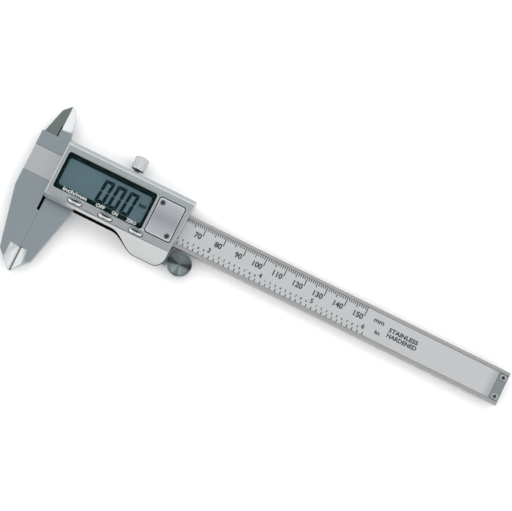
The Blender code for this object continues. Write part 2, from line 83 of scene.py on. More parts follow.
MM = 0.001
HEAD_LEFT = -14.7  # the beam's left end, from the datum
plate_low, plate_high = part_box("scale_plate")
DATUM = Vector((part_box("beam")[0].x - HEAD_LEFT * MM, (plate_low.y + plate_high.y) / 2, 0))


@functools.cache
def span(node):
    """A CAD node's lowest and highest corner, in millimetres from the datum."""
    low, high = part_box(node)
    return (low - DATUM) / MM, (high - DATUM) / MM


def middle(node):
    low, high = span(node)
    return (low + high) / 2


# Mesh helpers

FLAT_ANGLE, WELD, LETTER_WELD = math.radians(0.1), 0.002, 0.001
CAPITAL_SHARE = 0.7  # a capital's height in a font of size 1


def add(name, mesh, look, body, replaces=()):
    """A shown piece: its mesh on the datum, riding on a CAD body."""
    piece = bpy.data.objects.new(name, mesh)
    bpy.context.scene.collection.objects.link(piece)
    piece.location = DATUM
    mesh.materials.clear()
    mesh.materials.append(look)
    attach(piece, body)
    if replaces:
        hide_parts(*replaces)
    return piece


def dressed(piece, look, rule):
    """Gives a further material to the faces that rule(middle in millimetres, normal) picks."""
    piece.data.materials.append(look)
    for face in piece.data.polygons:
        if rule(face.center / MM, face.normal):
            face.material_index = len(piece.data.materials) - 1
    return piece


def mesh_from(shape, name):
    bmesh.ops.recalc_face_normals(shape, faces=shape.faces)
    mesh = bpy.data.meshes.new(name)
    shape.to_mesh(mesh)
    shape.free()
    return mesh


def prism(points, low, high):
    """A closed prism over an outline of (x, y), in millimetres."""
    shape = bmesh.new()
    base = shape.faces.new([shape.verts.new((x * MM, y * MM, low * MM)) for x, y in points])
    raised = bmesh.ops.extrude_face_region(shape, geom=[base])["geom"]
    moved = [item for item in raised if isinstance(item, bmesh.types.BMVert)]
    bmesh.ops.translate(shape, verts=moved, vec=(0, 0, (high - low) * MM))
    return mesh_from(shape, "prism")


def box_mesh(low, high):
    outline = [(low[0], low[1]), (high[0], low[1]), (high[0], high[1]), (low[0], high[1])]
    return prism(outline, low[2], high[2])


def lathe(profile, steps, place, wave=None):
    """A closed turned body: profile points are (radius, height); place turns (x, y, z) mm into a point.

    wave(angle, index), where given, is how far a profile point moves inwards at an angle.
    """
    shape = bmesh.new()
    rings = []
    for index, (radius, height) in enumerate(profile):
        if radius == 0:
            rings.append([shape.verts.new(Vector(place(0, 0, height)) * MM)])
            continue
        ring = []
        for step in range(steps):
            angle = 2 * math.pi * step / steps
            reach = radius - (wave(angle, index) if wave else 0)
            point = place(reach * math.cos(angle), reach * math.sin(angle), height)
            ring.append(shape.verts.new(Vector(point) * MM))
        rings.append(ring)
    for lower, upper in zip(rings, rings[1:]):
        for step in range(steps):
            after = (step + 1) % steps
            corners = [lower[step % len(lower)], lower[after % len(lower)]]
            corners += [upper[after % len(upper)], upper[step % len(upper)]]
            shape.faces.new(list(dict.fromkeys(corners)))
    return mesh_from(shape, "lathe")


def joined(meshes):
    """One mesh from several."""
    shape = bmesh.new()
    for mesh in meshes:
        shape.from_mesh(mesh)
        bpy.data.meshes.remove(mesh)
    mesh = bpy.data.meshes.new("joined")
    shape.to_mesh(mesh)
    shape.free()
    return mesh


def evaluated(mesh, *settings):
    """The mesh after modifiers; each setting is (type, {property: value})."""
    helper = bpy.data.objects.new("helper", mesh)
    bpy.context.scene.collection.objects.link(helper)
    for kind, values in settings:
        modifier = helper.modifiers.new(kind.lower(), kind)
        for key, value in values.items():
            setattr(modifier, key, value)
    made = bpy.data.meshes.new_from_object(helper.evaluated_get(bpy.context.evaluated_depsgraph_get()))
    bpy.data.objects.remove(helper, do_unlink=True)
    return made


def carved(mesh, *cutters):
    """The mesh with other meshes cut out of it."""
    for cutter in cutters:
        tool = bpy.data.objects.new("cutter", cutter)
        bpy.context.scene.collection.objects.link(tool)
        mesh = evaluated(mesh, ("BOOLEAN", {"operation": "DIFFERENCE", "object": tool}))
        bpy.data.objects.remove(tool, do_unlink=True)
    return mesh


def about(mesh, centre, scale):
    """The mesh scaled about a point in millimetres."""
    fixed = centre * MM
    mesh.transform(Matrix.Translation(fixed) @ Matrix.Diagonal((*scale, 1)) @ Matrix.Translation(-fixed))
    return mesh


def smooth(mesh, angle=35):
    mesh.shade_smooth()
    mesh.set_sharp_from_angle(angle=math.radians(angle))
    return mesh


def upright(normal, most=0.4):
    """Whether a face stands close to upright: its normal's share along z is under most."""
    return abs(normal.z) < most


def edge_middle(edge):
    first, second = (vertex.co / MM for vertex in edge.verts)
    return (first + second) / 2


def bevelled(mesh, width, segments=3, angle=30, widths=None):
    """Rounded edges, width in millimetres. widths(edge), where given, is each edge's own, up to width."""
    shape = bmesh.new()
    shape.from_mesh(mesh)
    layer = shape.edges.layers.float.new("bevel_weight_edge")
    for edge in shape.edges:
        sharp = len(edge.link_faces) == 2 and edge.calc_face_angle(0) > math.radians(angle)
        wanted = (widths(edge) if widths else width) if sharp else 0
        edge[layer] = wanted / width
    shape.to_mesh(mesh)
    shape.free()
    settings = {
        "limit_method": "WEIGHT",
        "width": width * MM,
        "segments": segments,
        "use_clamp_overlap": False,
        "loop_slide": False,
        "face_strength_mode": "FSTR_ALL",
    }
    return evaluated(mesh, ("BEVEL", settings))


def cad_mesh(node):
    """A copy of a CAD node's mesh on the datum, its flat faces cut into better triangles than slivers."""
    shape = bmesh.new()
    shape.from_mesh(frame["nodes"][node].data)
    bmesh.ops.remove_doubles(shape, verts=shape.verts, dist=WELD * MM)
    flat = [edge for edge in shape.edges if edge.calc_face_angle(1) < FLAT_ANGLE]
    bmesh.ops.beautify_fill(shape, faces=shape.faces, edges=flat, method="ANGLE")
    bmesh.ops.translate(shape, verts=shape.verts, vec=-DATUM)
    return mesh_from(shape, node)


def weighted(piece):
    """Flat faces keep flat shading next to rounded edges."""
    modifier = piece.modifiers.new("normals", "WEIGHTED_NORMAL")
    modifier.keep_sharp = True
    modifier.use_face_influence = True
    return piece


def refined(node, look, body, width=0.15, segments=2, widths=None, angle=30):
    """The CAD node's shape with its edges broken, in a finished material."""
    mesh = smooth(bevelled(cad_mesh(node), width, segments, angle, widths))
    return weighted(add(node + "_finished", mesh, look, body, [node]))


def text_mesh(words, at, height, align="LEFT", depth=0.02, bold=0.0, width=None):
    """Lettering as a thin closed solid. at is (x, y, z) of its baseline; height is a capital's.

    width, where given, is what the words are stretched to, in millimetres.
    """
    curve = bpy.data.curves.new("letters", "FONT")
    curve.body = words
    curve.align_x = align
    curve.size = height / CAPITAL_SHARE * MM
    curve.extrude = depth / 2 * MM
    curve.offset = bold * MM
    curve.resolution_u = 3
    holder = bpy.data.objects.new("letters", curve)
    bpy.context.scene.collection.objects.link(holder)
    made = bpy.data.meshes.new_from_object(holder.evaluated_get(bpy.context.evaluated_depsgraph_get()))
    bpy.data.objects.remove(holder, do_unlink=True)
    if width:
        places = [vertex.co.x for vertex in made.vertices]
        made.transform(Matrix.Diagonal((width * MM / (max(places) - min(places)), 1, 1, 1)))
    made.transform(Matrix.Translation(Vector((at[0], at[1], at[2] + depth / 2)) * MM))
    shape = bmesh.new()
    shape.from_mesh(made)
    bmesh.ops.remove_doubles(shape, verts=shape.verts, dist=LETTER_WELD * MM)
    shape.to_mesh(made)
    shape.free()
    return made


# Material helpers


def new_material(name):
    made = bpy.data.materials.new(name)
    made.use_nodes = True
    return made, made.node_tree, made.node_tree.nodes["Principled BSDF"]


def in_metres(values):
    return tuple(value * MM for value in values)


def split_place(tree, space="Object"):
    """The separate coordinates of a shaded point: from its object's origin, in metres, by default."""
    place = tree.nodes.new("ShaderNodeTexCoord")
    split = tree.nodes.new("ShaderNodeSeparateXYZ")
    tree.links.new(place.outputs[space], split.inputs["Vector"])
    return split.outputs


def mapped(tree, scale):
    """Object coordinates, scaled along each axis: the number of pattern units in a millimetre."""
    place = tree.nodes.new("ShaderNodeTexCoord")
    mapping = tree.nodes.new("ShaderNodeMapping")
    mapping.inputs["Scale"].default_value = [value / MM for value in scale]
    tree.links.new(place.outputs["Object"], mapping.inputs["Vector"])
    return mapping.outputs["Vector"]


def noise(tree, scale, detail=3.0):
    made = tree.nodes.new("ShaderNodeTexNoise")
    made.inputs["Scale"].default_value = 1.0
    made.inputs["Detail"].default_value = detail
    tree.links.new(mapped(tree, scale), made.inputs["Vector"])
    return made.outputs["Fac"]


def ranged(tree, value, low, high, source=(0.3, 0.7)):
    """low to high as a value goes through a range, by default the one that holds most of a noise."""
    made = tree.nodes.new("ShaderNodeMapRange")
    made.inputs["From Min"].default_value, made.inputs["From Max"].default_value = source
    made.inputs["To Min"].default_value, made.inputs["To Max"].default_value = low, high
    tree.links.new(value, made.inputs["Value"])
    return made.outputs["Result"]


def mixed(tree, factor, first, second):
    """The first at factor 0 and the second at 1. Each is a colour or a socket; a factor can be a number."""
    made = tree.nodes.new("ShaderNodeMix")
    made.data_type = "RGBA"
    if isinstance(factor, float):
        made.inputs["Factor"].default_value = factor
    else:
        tree.links.new(factor, made.inputs["Factor"])
    for socket, colour in (("A", first), ("B", second)):
        target = [item for item in made.inputs if item.name == socket and item.type == "RGBA"][0]
        if isinstance(colour, tuple):
            target.default_value = (*colour, 1)
        else:
            tree.links.new(colour, target)
    return [item for item in made.outputs if item.type == "RGBA"][0]


def math_node(tree, operation, *values):
    """A calculation on numbers and sockets."""
    made = tree.nodes.new("ShaderNodeMath")
    made.operation = operation
    for socket, value in zip(made.inputs, values):
        if isinstance(value, (int, float)):
            socket.default_value = value
        else:
            tree.links.new(value, socket)
    return made.outputs["Value"]


def ramp(tree, value, stops, tint=(1, 1, 1), interpolation="LINEAR"):
    """A level for each place from 0 to 1, read off stops of (place, level)."""
    made = tree.nodes.new("ShaderNodeValToRGB")
    made.color_ramp.interpolation = interpolation
    elements = made.color_ramp.elements
    while len(elements) < len(stops):
        elements.new(0.5)
    for element, (place, level) in zip(elements, stops):
        element.position = place
        element.color = (*(level * part for part in tint), 1)
    tree.links.new(value, made.inputs["Fac"])
    return made.outputs["Color"]


def bumped(tree, shader, height, strength, distance):
    """Relief from a height, its distance in millimetres."""
    made = tree.nodes.new("ShaderNodeBump")
    made.inputs["Strength"].default_value = strength
    made.inputs["Distance"].default_value = distance * MM
    tree.links.new(height, made.inputs["Height"])
    tree.links.new(made.outputs["Normal"], shader.inputs["Normal"])


def shades(colour, share, lift=0.0):
    """A colour made darker and lighter by a share."""
    darker = tuple(value * (1 - share) for value in colour)
    lighter = tuple(min(1.0, value * (1 + share) + lift) for value in colour)
    return darker, lighter


# Materials

ALONG_X, ALONG_Y, CAST, ETCHED = (0.3, 14.0, 14.0), (14.0, 0.3, 14.0), (5.0, 5.0, 5.0), (4.0, 4.0, 4.0)
BLOTCHES = (0.06, 0.09, 0.09)
GRAIN_DEPTH, PAINT_DEPTH = 0.01, 0.02
PAINT_SPREAD, PAINT_LIFT = 0.06, 0.002


def metal(name, colour, roughness, grain, spread=0.06, tint=0.05, relief=0.12, turns=()):
    """Steel with a fine grain: grain is the pattern's frequency along x, y and z, per millimetre.

    spread, tint and relief are how much its roughness, its shade and its surface vary. turns, where given,
    are (start, end, colour): the colours that it turns to in order along x, in millimetres.
    """
    made, tree, shader = new_material(name)
    fine = noise(tree, grain)
    broad = noise(tree, BLOTCHES, 2.0)
    blotch = mixed(tree, ranged(tree, broad, 0, 1), *shades(colour, tint))
    streak = mixed(tree, ranged(tree, fine, 0, 1), *shades(colour, tint))
    shade = mixed(tree, 0.5, blotch, streak)
    for start, end, other in turns:
        share = ranged(tree, split_place(tree)["X"], 0, 1, in_metres((start, end)))
        shade = mixed(tree, share, shade, other)
    tree.links.new(shade, shader.inputs["Base Color"])
    tree.links.new(ranged(tree, fine, roughness - spread, roughness + spread), shader.inputs["Roughness"])
    shader.inputs["Metallic"].default_value = 1.0
    bumped(tree, shader, fine, relief, GRAIN_DEPTH)
    return made


def paint(name, colour, roughness, speckle=0.15, grain=4.0, relief=0.1, shine=0.5):
    """A moulded or printed surface with a little unevenness."""
    made, tree, shader = new_material(name)
    fine = noise(tree, (grain, grain, grain))
    colours = mixed(tree, ranged(tree, fine, 0, 1), *shades(colour, speckle, PAINT_LIFT))
    tree.links.new(colours, shader.inputs["Base Color"])
    rough = ranged(tree, fine, roughness - PAINT_SPREAD, roughness + PAINT_SPREAD)
    tree.links.new(rough, shader.inputs["Roughness"])
    shader.inputs["Specular IOR Level"].default_value = shine
    bumped(tree, shader, fine, relief, PAINT_DEPTH)
    return made


# How much a finish varies in roughness, in shade and in relief.
GROUND, LAPPED, PLATED = (0.02, 0.012, 0.04), (0.04, 0.02, 0.06), (0.025, 0.015, 0.03)
DOOR_PLATED = (0.02, 0.01, 0.03)

# Colours painted in along x as light and shade: the beam's steel lighter from the fixed jaw onto the rails,
# the scale panel lighter past its head and darker towards its right end.
RAIL_PAINTED_LIGHT_TURNS = [(0, 60, (0.40, 0.405, 0.41))]
PANEL_PAINTED_LIGHT_TURNS = [(5, 60, (0.52, 0.53, 0.54)), (211.5, 216, (0.33, 0.365, 0.37))]
# The fixed knife turns darker by the seam, as painted shade; the moving knife is dark by the seam as painted
# shade and turns light beyond it as a painted highlight.
FIXED_KNIFE_SEAM_PAINTED_SHADE = [(-1.2, 0, (0.42, 0.45, 0.455))]
MOVING_KNIFE_PAINTED_HIGHLIGHT_TURNS = [(0.35, 1.0, (0.49, 0.505, 0.51))]
BLACK = (0.004, 0.0045, 0.005)

JAW_STEEL = metal("jaw_ground_steel", (0.292, 0.335, 0.362), 0.3, ALONG_X, *GROUND)
RAIL_STEEL = metal("beam_ground_steel", (0.288, 0.332, 0.355), 0.3, ALONG_X, *GROUND, RAIL_PAINTED_LIGHT_TURNS)
# The rear blade: the jaw's steel made darker, as painted shade.
REAR_BLADE_PAINTED_SHADE = metal("rear_blade_painted_shade", (0.165, 0.195, 0.19), 0.34, ALONG_X)
# The knife bevels: the steel made much lighter, as a painted highlight.
KNIFE_PAINTED_HIGHLIGHT = metal("knife_bevel_painted_highlight", (0.52, 0.535, 0.54), 0.26, ALONG_Y, *LAPPED)
FIXED_KNIFE_PAINTED_LIGHT = metal(
    "fixed_knife_painted_highlight_and_shade", (0.76, 0.78, 0.785), 0.26, ALONG_Y, *LAPPED, FIXED_KNIFE_SEAM_PAINTED_SHADE
)
MOVING_KNIFE_PAINTED_LIGHT = metal(
    "moving_knife_painted_shade_and_highlight", (0.07, 0.08, 0.085), 0.3, ALONG_Y, *LAPPED, MOVING_KNIFE_PAINTED_HIGHLIGHT_TURNS
)
SATIN_CHROME = metal("satin_chrome", (0.395, 0.425, 0.44), 0.26, CAST, *PLATED)
# The thumb slope: the housing's chrome made lighter, as painted light.
SLOPE_PAINTED_LIGHT = metal("thumb_slope_painted_light", (0.515, 0.525, 0.525), 0.26, CAST, *PLATED)
BRIGHT_STEEL = metal("turned_steel", (0.46, 0.47, 0.475), 0.25, CAST)
CAP_STEEL = metal("button_cap_steel", (0.50, 0.53, 0.53), 0.22, CAST)
# The dish's upper side: painted shade.
CAP_PAINTED_SHADE = metal("button_cap_painted_shade", (0.035, 0.042, 0.044), 0.35, CAST)
DARK_SCREW = metal("dark_screw_steel", (0.10, 0.105, 0.11), 0.4, CAST)
END_SCREW = metal("end_screw_steel", (0.30, 0.33, 0.34), 0.3, CAST)
PANEL = metal("etched_scale_panel", (0.42, 0.435, 0.445), 0.4, ETCHED, tint=0.02, turns=PANEL_PAINTED_LIGHT_TURNS)
BAND_STEEL = metal("end_band_steel", (0.24, 0.27, 0.28), 0.36, ALONG_X)
BRASS = metal("spring_brass", (0.78, 0.6, 0.3), 0.3, ALONG_X)
# Black for the walls of openings, gaps and recesses: painted shade.
PAINTED_SHADE_BLACK = paint("painted_shade_black", BLACK, 0.6, shine=0.0)
INK = paint("etched_black_ink", (0.025, 0.027, 0.03), 0.6, 0.4)
BORDER = paint("window_border_ink", (0.0005, 0.0080, 0.0095), 0.6, shine=0.0)
LABEL = paint("silver_label_ink", (0.62, 0.65, 0.65), 0.45)
LCD_DARK = paint("lcd_segment", (0.0010, 0.0085, 0.010), 0.6, shine=0.0)
BOARD = paint("solder_mask_green", (0.015, 0.11, 0.04), 0.35)
CHIP = paint("moulded_chip_black", (0.015, 0.015, 0.017), 0.5)
ZEBRA = paint("zebra_rubber", (0.12, 0.12, 0.13), 0.8)

# Painted shade on the housing's lower side wall: the line it is black below, where it starts past the jaw,
# and how soft its edge is.
SHADE_LINE_X, SHADE_LINE_Z = (34, 50), (13.8, 4.5)
SHADE_START_X, SHADE_START_Z = (13.5, 13.9), (0, 14)
SHADE_BLUR = 0.4


def wall_material():
    """The housing's lower side: painted shade, black below a line that falls from the plain edge to the
    thumb grip.
    """
    made = paint("housing_side_wall_painted_shade", (0.30, 0.32, 0.33), 0.5, 0.05, shine=0.0)
    tree = made.node_tree
    shader = tree.nodes["Principled BSDF"]
    place = split_place(tree)
    line = ranged(tree, place["X"], *in_metres(SHADE_LINE_Z), in_metres(SHADE_LINE_X))
    past_jaw = ranged(tree, place["X"], *in_metres(SHADE_START_Z), in_metres(SHADE_START_X))
    limit = math_node(tree, "MINIMUM", line, past_jaw)
    above = math_node(tree, "SUBTRACT", place["Z"], limit)
    edge = ranged(tree, above, 0, 1, in_metres((-SHADE_BLUR, SHADE_BLUR)))
    grey = shader.inputs["Base Color"].links[0].from_socket
    tree.links.new(mixed(tree, edge, BLACK, grey), shader.inputs["Base Color"])
    return made


# The painted sheen's colour at the door's ends, and the distances from its middle along y over which it
# lifts.
DOOR_PAINTED_SHEEN_COLOUR, DOOR_PAINTED_SHEEN_Y = (0.54, 0.565, 0.60), (0.5, 8)


def door_material():
    """Satin chrome with a painted sheen that lifts towards the door's two ends."""
    made = metal("battery_door_chrome_painted_sheen", (0.37, 0.385, 0.415), 0.25, ALONG_Y, *DOOR_PLATED)
    tree = made.node_tree
    shader = tree.nodes["Principled BSDF"]
    away = math_node(tree, "ABSOLUTE", split_place(tree)["Y"])
    lift = ranged(tree, away, 0, 1, in_metres(DOOR_PAINTED_SHEEN_Y))
    middle_colour = shader.inputs["Base Color"].links[0].from_socket
    tree.links.new(mixed(tree, lift, middle_colour, DOOR_PAINTED_SHEEN_COLOUR), shader.inputs["Base Color"])
    return made


# The level of the painted sheen at each share of a turn round the roller's axis.
PAINTED_SHEEN_STOPS = (
    (0.0, 0.045), (0.035, 0.05), (0.065, 0.17), (0.20, 0.19), (0.24, 0.11), (0.28, 0.10),
    (0.31, 0.19), (0.46, 0.19), (0.5, 0.05), (0.555, 0.045), (0.6, 0.15), (0.75, 0.17),
    (0.92, 0.16), (0.97, 0.05), (1.0, 0.045),
)
# The painted sheen's tint, and the concentric marks in a millimetre.
PAINTED_SHEEN_TINT, RINGS_PER_MM = (0.86, 1.03, 1.06), 0.9


def roller_material():
    """A turned face: a painted sheen that breaks into sectors round the axis, over fine concentric marks."""
    made, tree, shader = new_material("turned_roller_painted_sheen")
    centre = middle("thumb_roller")
    place = tree.nodes.new("ShaderNodeTexCoord")
    move = tree.nodes.new("ShaderNodeMapping")
    move.inputs["Location"].default_value = (-centre.x * MM, -centre.y * MM, 0)
    tree.links.new(place.outputs["Object"], move.inputs["Vector"])
    sweep = tree.nodes.new("ShaderNodeTexGradient")
    sweep.gradient_type = "RADIAL"
    tree.links.new(move.outputs["Vector"], sweep.inputs["Vector"])
    sectors = ramp(tree, sweep.outputs["Fac"], PAINTED_SHEEN_STOPS, PAINTED_SHEEN_TINT)
    tree.links.new(sectors, shader.inputs["Base Color"])
    rings = tree.nodes.new("ShaderNodeTexWave")
    rings.wave_type = "RINGS"
    rings.rings_direction = "Z"
    rings.inputs["Scale"].default_value = RINGS_PER_MM / MM
    rings.inputs["Distortion"].default_value = 0.3
    tree.links.new(move.outputs["Vector"], rings.inputs["Vector"])
    tree.links.new(ranged(tree, rings.outputs["Fac"], 0.24, 0.34), shader.inputs["Roughness"])
    shader.inputs["Metallic"].default_value = 1.0
    bumped(tree, shader, rings.outputs["Fac"], 0.05, GRAIN_DEPTH)
    return made


LCD_COLOURS = (0.060, 0.104, 0.122), (0.072, 0.122, 0.141)


def lcd_material():
    made, tree, shader = new_material("lcd_panel")
    broad = noise(tree, (0.03, 0.06, 0.06), 1.0)
    shade = mixed(tree, ranged(tree, broad, 0, 1), *LCD_COLOURS)
    tree.links.new(shade, shader.inputs["Base Color"])
    tree.links.new(ranged(tree, broad, 0.4, 0.5), shader.inputs["Roughness"])
    shader.inputs["Specular IOR Level"].default_value = 0.1
    return made


def lens_material():
    """Clear acrylic: mostly what lies behind it, with a faint reflection."""
    made, tree, shader = new_material("clear_window")
    fine = noise(tree, (0.4, 0.4, 0.4), 2.0)
    tree.nodes.remove(shader)
    clear = tree.nodes.new("ShaderNodeBsdfTransparent")
    gloss = tree.nodes.new("ShaderNodeBsdfGlossy")
    blend = tree.nodes.new("ShaderNodeMixShader")
    share, behind, reflection = blend.inputs
    tree.links.new(ranged(tree, fine, 0.08, 0.12), gloss.inputs["Roughness"])
    tree.links.new(ranged(tree, fine, 0.003, 0.006), share)
    tree.links.new(clear.outputs["BSDF"], behind)
    tree.links.new(gloss.outputs["BSDF"], reflection)
    tree.links.new(blend.outputs["Shader"], tree.nodes["Material Output"].inputs["Surface"])
    return made


SIDE_WALL_PAINTED_SHADE = wall_material()
DOOR_CHROME_PAINTED_SHEEN = door_material()
ROLLER_PAINTED_SHEEN = roller_material()
LCD_PANEL = lcd_material()
LENS = lens_material()


# Screws

# A pan head's outline in shares of its radius and its height, from the crown down.
PAN_HEAD = ((0, 0), (0.55, 0), (0.8, 0.12), (0.94, 0.32), (1, 0.6), (1, 1))
SHANK_SHARE, RECESS_REACH, RECESS_HALF = 0.5, 0.66, 0.15
SHANK_TIP, SHANK_CHAMFER, RECESS_SLACK = 0.2, 0.15, 0.02


def turned_screw(node, look, sizes, head_up=True):
    """A pan screw with a crossed recess in place of a CAD one.

    sizes are the radius and the height of its head, and the depth of its recess.
    """
    low, high = span(node)
    x, y = (low.x + high.x) / 2, (low.y + high.y) / 2
    radius, head, recess = sizes
    shank = radius * SHANK_SHARE
    length = high.z - low.z
    profile = [(radius * across, -head * drop) for across, drop in PAN_HEAD]
    profile += [(shank, -head), (shank, -length + SHANK_TIP), (shank - SHANK_CHAMFER, -length), (0, -length)]

    def place(a, b, height):
        return (x + a, y + b, high.z + height) if head_up else (x + a, y - b, low.z - height)

    mesh = lathe(profile, 40, place)
    reach, thick = radius * RECESS_REACH, radius * RECESS_HALF
    near, far = (high.z - recess, high.z + 1) if head_up else (low.z - 1, low.z + recess)
    for half_x, half_y in ((reach, thick), (thick, reach)):
        mesh = carved(mesh, box_mesh((x - half_x, y - half_y, near), (x + half_x, y + half_y, far)))
    body = frame["nodes"][node]["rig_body"]
    piece = add(node + "_finished", smooth(mesh, 40), look, body, [node])

    def in_recess(at, normal):
        depth = high.z - at.z if head_up else at.z - low.z
        near_axis = math.hypot(at.x - x, at.y - y) < reach + RECESS_SLACK
        on_floor = abs(depth - recess) < RECESS_SLACK
        below_crown = RECESS_SLACK < depth < recess + RECESS_SLACK
        return below_crown and near_axis and (upright(normal, 0.3) or on_floor)

    # The cross recess is painted black as shade.
    return dressed(piece, PAINTED_SHADE_BLACK, in_recess)


# Beam and its scale

LOWER_KNIFE_Y, UPPER_KNIFE_Y = -38.3, 16.9
KNIFE_TILT, KNIFE_FACING = (0.12, 0.6), 0.75
EDGE_WIDTH, LAPPED_WIDTH, CLOSED_GAP = 0.18, 0.01, 0.02
MEASURING_REACH, MEASURING_TOP = 0.3, -12

# Black webs, put in as painted shade, that close the slot in the fixed jaw and the notch in the moving
# inside jaw, halfway down, and the range of x and of y that holds each opening's walls, which are painted
# black as shade.
SHADE_WEB_Z, SHADE_WEB_SLACK = (4.1, 4.4), 0.1
SLOT_SHADE_WEB, SLOT_WALLS = ((-1.3, -20.2), (-0.1, -9.0)), ((-1.4, 0.1), (-20.3, -8))
NOTCH_SHADE_WEB, NOTCH_WALLS = ((-7.85, 13.4), (-7.22, 18.3)), ((-7.9, -7.1), (13.3, 18.4))


def knife_face(at, normal):
    """The bevels that thin the jaws' tips to an edge."""
    tilted = KNIFE_TILT[0] < abs(normal.x) < KNIFE_TILT[1] and abs(normal.z) > KNIFE_FACING
    return tilted and (at.y < LOWER_KNIFE_Y or at.y > UPPER_KNIFE_Y)


def lower_knife_face(at, normal):
    return at.y < 0 and knife_face(at, normal)


def jaw_widths(edge):
    """The measuring faces meet the jaws' sides in crisp edges; the other edges are broken."""
    at = edge_middle(edge)
    measuring = abs(at.x) < MEASURING_REACH and at.y < MEASURING_TOP
    return LAPPED_WIDTH if measuring else EDGE_WIDTH


def with_web(steel, web):
    (low_x, low_y), (high_x, high_y) = web
    return joined([steel, box_mesh((low_x, low_y, SHADE_WEB_Z[0]), (high_x, high_y, SHADE_WEB_Z[1]))])


def opening_faces(walls):
    """A rule for the walls of an opening, and for the web in it: the faces painted black as shade."""
    (low_x, high_x), (low_y, high_y) = walls

    def rule(at, normal):
        inside = low_x < at.x < high_x and low_y < at.y < high_y
        return inside and (upright(normal, 0.5) or SHADE_WEB_Z[0] - SHADE_WEB_SLACK < at.z < SHADE_WEB_Z[1] + SHADE_WEB_SLACK)

    return rule


def make_beam():
    steel = bevelled(cad_mesh("beam"), EDGE_WIDTH, 2, widths=jaw_widths)
    steel = smooth(with_web(steel, SLOT_SHADE_WEB))
    beam = weighted(add("beam_finished", steel, RAIL_STEEL, "beam", ["beam"]))
    # The knife bevels take painted highlights, the lower one with painted shade by its seam.
    dressed(beam, KNIFE_PAINTED_HIGHLIGHT, knife_face)
    dressed(beam, FIXED_KNIFE_PAINTED_LIGHT, lower_knife_face)
    # The slot's walls and web are painted black as shade.
    dressed(beam, PAINTED_SHADE_BLACK, opening_faces(SLOT_WALLS))
    refined("scale_plate", PANEL, "beam", width=0.05, segments=1)
    refined("stator_strip", BOARD, "beam", width=0.04, segments=1)
    refined("scale_end_clamp", BAND_STEEL, "beam", width=0.1)
    refined("beam_end_stop", RAIL_STEEL, "beam", width=0.25)
    for number in (1, 2):
        turned_screw(f"end_screw_{number}", END_SCREW, (1.6, 0.7, 0.35))


SCALE_ZERO_X, LAST_MM, LAST_TENTH, INCH = 0.4, 150, 60, 25.4
LONG_TICK, HALF_TICK, SHORT_TICK = 4.3, 2.3, 1.4
TICK_HALF, TICK_THICK, TICK_END = 0.22, 0.02, 0.05

# Each kind of number's gap to its tick, foot, height and boldness.
MM_NUMBER, TENTH_NUMBER = (0.4, 0.1, 2.4, 0.13), (0.3, -4.2, 1.15, 0.05)
INCH_NUMBER = (0.2, -3.5, 2.1, 0.1)

# The words beside the scale, with their left end, foot, height, boldness and width.
SCALE_WORDS = (
    ("mm", 155.0, 1.7, 2.1, 0.09, 4.9),
    ("in", 157.5, -3.1, 1.8, 0.09, 2.4),
    ("STAINLESS", 163.0, 0.45, 1.85, 0.11, 14.3),
    ("HARDENED", 163.0, -2.1, 1.85, 0.11, 14.5),
)


def tick(x, low_y, high_y, top):
    return box_mesh((x - TICK_HALF, low_y, top), (x + TICK_HALF, high_y, top + TICK_THICK))


def number_mesh(number, x, top, kind):
    """A number of the scale, to the left of its tick."""
    gap, foot, height, bold = kind
    return text_mesh(str(number), (x - gap, foot, top), height, "RIGHT", bold=bold)


def make_scale():
    """The millimetre scale along the plate's upper edge, and the inch scale along its lower one."""
    high = span("scale_plate")[1]
    top, edge = high.z, high.y
    ticks, numbers, tenths, inches = [], [], [], []
    for n in range(LAST_MM + 1):
        x = SCALE_ZERO_X + n
        length = LONG_TICK if n % 10 == 0 else HALF_TICK if n % 5 == 0 else SHORT_TICK
        ticks.append(tick(x, edge - length, edge - TICK_END, top))
        if n % 10 == 0 and n:
            numbers.append(number_mesh(n, x, top, MM_NUMBER))
    for n in range(LAST_TENTH + 1):
        x = SCALE_ZERO_X + n * INCH / 10
        ticks.append(tick(x, -edge + TICK_END, -edge + SHORT_TICK, top))
        if n % 10:
            tenths.append(number_mesh(n % 10, x, top, TENTH_NUMBER))
        elif n:
            inches.append(number_mesh(n // 10, x, top, INCH_NUMBER))
    words = [
        text_mesh(text, (left, foot, top), height, bold=bold, width=width)
        for text, left, foot, height, bold, width in SCALE_WORDS
    ]
    add("scale_ticks", joined(ticks), INK, "beam")
    add("scale_numbers_mm", joined(numbers), INK, "beam")
    add("scale_numbers_tenths", joined(tenths), INK, "beam")
    add("scale_numbers_inch", joined(inches), INK, "beam")
    add("scale_words", joined(words), INK, "beam")


# Housing

BUTTONS, BUTTON_REACH = ("unit_button", "power_button", "zero_button"), (3.85, 1.75)
FRONT_INNER_Z, ABOVE_SEAT_Z, CREASE_Y, CREASE_LOW_Z = 13.4, 14.0, -12.5, 14.5
OPENING_LOW_Z, BUTTON_HOLE_LOW_Z, SIDE_Y = 13, 12, 13
RIM_WIDTH, END_WIDTH, RIGHT_END_WIDTH = 0.32, 0.75, 0.3
HOLE_WIDTH, SMALL_WIDTH, CREASE_WIDTH = 0.1, 0.05, 0.03
WINDOW_X, WINDOW_HALF, DOOR_X, DOOR_HALF = (1.2, 44.6), 8.6, (45.9, 58.7), 8.8
SOFT_FOLD, OPENING_SLACK = math.radians(25), 0.12


def near_box(at, low_x, high_x, half_y):
    """Whether a point lies on or within an opening's outline."""
    return low_x - OPENING_SLACK < at.x < high_x + OPENING_SLACK and abs(at.y) < half_y + OPENING_SLACK


def near_button(at):
    for name in BUTTONS:
        centre = middle(name)
        if abs(at.x - centre.x) < BUTTON_REACH[0] and abs(at.y - centre.y) < BUTTON_REACH[1]:
            return True
    return False


